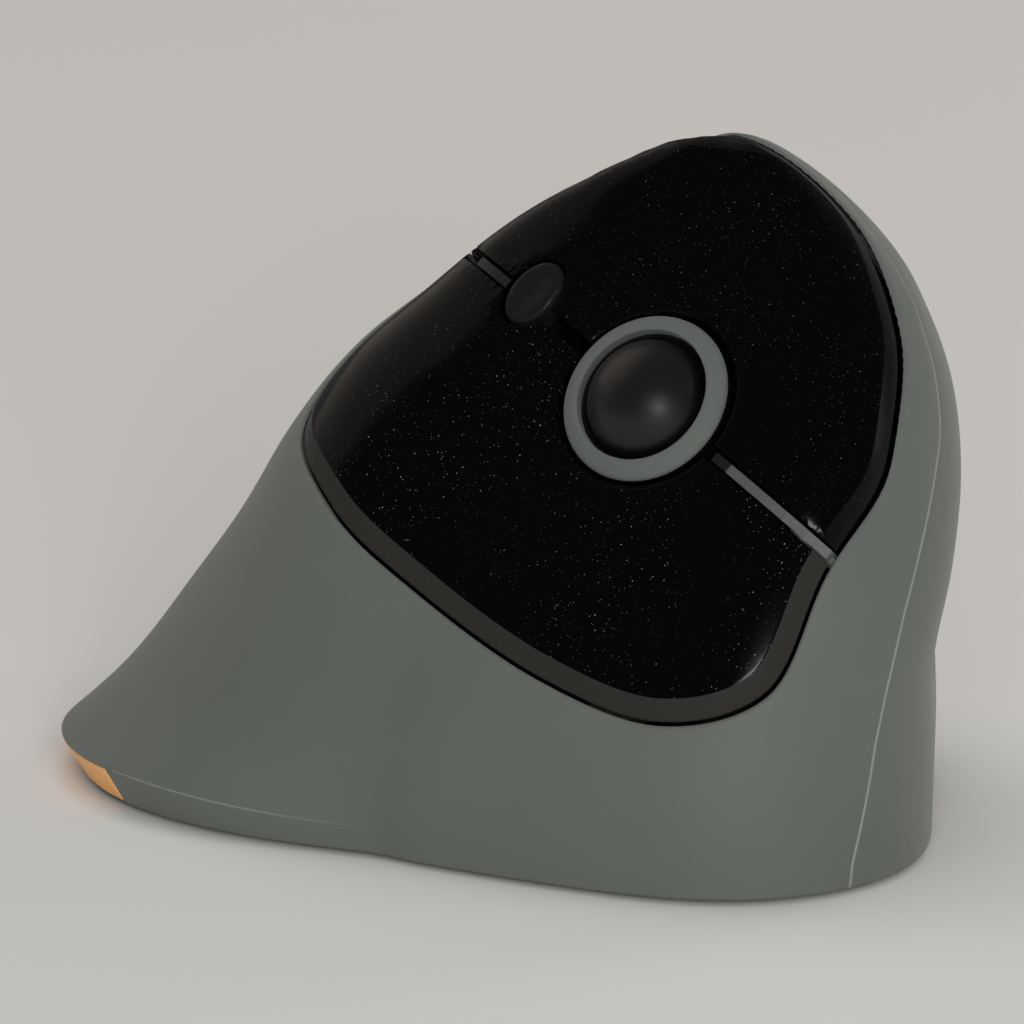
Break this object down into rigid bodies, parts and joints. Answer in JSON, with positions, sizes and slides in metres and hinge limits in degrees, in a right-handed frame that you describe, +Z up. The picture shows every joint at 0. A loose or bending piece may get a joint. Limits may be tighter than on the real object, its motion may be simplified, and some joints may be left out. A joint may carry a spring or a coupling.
{
  "type": "vertical ergonomic mouse",
  "caption": "Right-handed upright computer mouse with a sloping two-button panel, a trackball in a twist-off ring, a flared rest for the hand's edge and a thumb groove.",
  "frame": {"origin": "on the desk, under the middle of the mouse's outline", "axes": "+Y forward, away from the user, +X to the user's right, +Z up"},
  "size_m": [0.0904, 0.1016, 0.0766],
  "materials": {
    "soft_grey": "soft-touch, satin",
    "gloss_black": "polished",
    "ring_grey": "matt",
    "ball_black": "satin",
    "inlay_orange": "satin",
    "base_black": "fine texture",
    "frame_grey": "satin",
    "switch_black": "satin",
    "plunger_red": "satin",
    "board_green": "solder mask",
    "steel": "turned",
    "contact_brass": "plated",
    "cell_can": "satin",
    "clear_lens": "clear",
    "foot_black": "slick",
    "side_grey": "satin"
  },
  "bodies": {
    "housing": {"grip_shell": "soft_grey", "thumb_shell": "soft_grey", "base_plate": "base_black", "accent_strip": "inlay_orange", "button_frame": "frame_grey", "ball_carrier": "frame_grey", "support_bearings": "steel", "button_pins": "steel", "switch_board": "board_green", "microswitches": "switch_black", "tact_switch": "switch_black", "main_board": "board_green", "optical_sensor": "switch_black", "sensor_lens": "clear_lens", "side_board": "board_green", "side_switches": "switch_black", "battery": "cell_can", "battery_spring": "contact_brass", "battery_contact": "contact_brass", "power_switch": "switch_black", "glide_feet": "foot_black", "base_screws": "steel", "frame_screws": "steel", "board_screws": "steel"},
    "upper_button": {"upper_button": "gloss_black"},
    "lower_button": {"lower_button": "gloss_black"},
    "upper_plunger": {"upper_plunger": "plunger_red"},
    "lower_plunger": {"lower_plunger": "plunger_red"},
    "oval_button": {"oval_button": "gloss_black"},
    "retaining_ring": {"retaining_ring": "ring_grey"},
    "scroll_ball": {"scroll_ball": "ball_black"},
    "scroll_roller": {"scroll_roller": "steel"},
    "side_roller": {"side_roller": "steel"},
    "forward_button": {"forward_button": "side_grey"},
    "back_button": {"back_button": "side_grey"},
    "battery_door": {"battery_door": "base_black"},
    "power_slider": {"power_slider": "foot_black"}
  },
  "joints": [
    {"name": "upper_button_press", "type": "hinge", "parent": "housing", "child": "upper_button", "pos_m": [-0.01121, 0.00408, 0.06397], "axis": [-0.6725, 0.1651, 0.7215], "range_deg": [0, 1.2], "stiffness_Nm_per_rad": 0.6, "springref_deg": -1.15},
    {"name": "lower_button_press", "type": "hinge", "parent": "housing", "child": "lower_button", "pos_m": [0.01072, -0.01123, 0.04702], "axis": [-0.6725, 0.1651, 0.7215], "range_deg": [0, 1], "stiffness_Nm_per_rad": 0.8, "springref_deg": -1.15},
    {"name": "upper_plunger_travel", "type": "slide", "parent": "housing", "child": "upper_plunger", "axis": [-0.7175, -0.3847, -0.5807], "range_m": [0, 0.00055]},
    {"name": "lower_plunger_travel", "type": "slide", "parent": "housing", "child": "lower_plunger", "axis": [-0.7175, -0.3847, -0.5807], "range_m": [0, 0.00065]},
    {"name": "oval_button_press", "type": "slide", "parent": "housing", "child": "oval_button", "axis": [-0.7175, -0.3847, -0.5807], "range_m": [0, 0.0005], "stiffness_N_per_m": 800, "springref_m": -0.0003},
    {"name": "ring_twist", "type": "hinge", "parent": "housing", "child": "retaining_ring", "pos_m": [-0.00065, 0.02225, 0.05094], "axis": [0.7175, 0.3847, 0.5807], "range_deg": [0, 25]},
    {"name": "ball_roll", "type": "hinge", "parent": "housing", "child": "scroll_ball", "pos_m": [-0.00237, 0.02133, 0.04954], "axis": [0.6725, -0.1651, -0.7215], "continuous": true},
    {"name": "scroll_roller_spin", "type": "hinge", "parent": "housing", "child": "scroll_roller", "pos_m": [-0.00749, 0.02611, 0.04367], "axis": [0.6725, -0.1651, -0.7215], "continuous": true},
    {"name": "side_roller_spin", "type": "hinge", "parent": "housing", "child": "side_roller", "pos_m": [-0.01117, 0.02055, 0.0519], "axis": [-0.1817, 0.9081, -0.3772], "continuous": true},
    {"name": "forward_button_press", "type": "slide", "parent": "housing", "child": "forward_button", "axis": [0.8952, 0.3986, -0.1994], "range_m": [0, 0.0005], "stiffness_N_per_m": 800, "springref_m": -0.0003},
    {"name": "back_button_press", "type": "slide", "parent": "housing", "child": "back_button", "axis": [0.8952, 0.3986, -0.1994], "range_m": [0, 0.0005], "stiffness_N_per_m": 800, "springref_m": -0.0003},
    {"name": "battery_door_release", "type": "slide", "parent": "housing", "child": "battery_door", "axis": [0, 0, -1], "range_m": [0, 0.012]},
    {"name": "power_slider_slide", "type": "slide", "parent": "housing", "child": "power_slider", "axis": [1, 0, 0], "range_m": [0, 0.003]}
  ],
  "couplings": [
    {"joint": "upper_plunger_travel", "follows": "upper_button_press", "m_per_rad": 0.024},
    {"joint": "lower_plunger_travel", "follows": "lower_button_press", "m_per_rad": 0.0355},
    {"joint": "scroll_roller_spin", "follows": "ball_roll", "ratio": -4.6875}
  ]
}
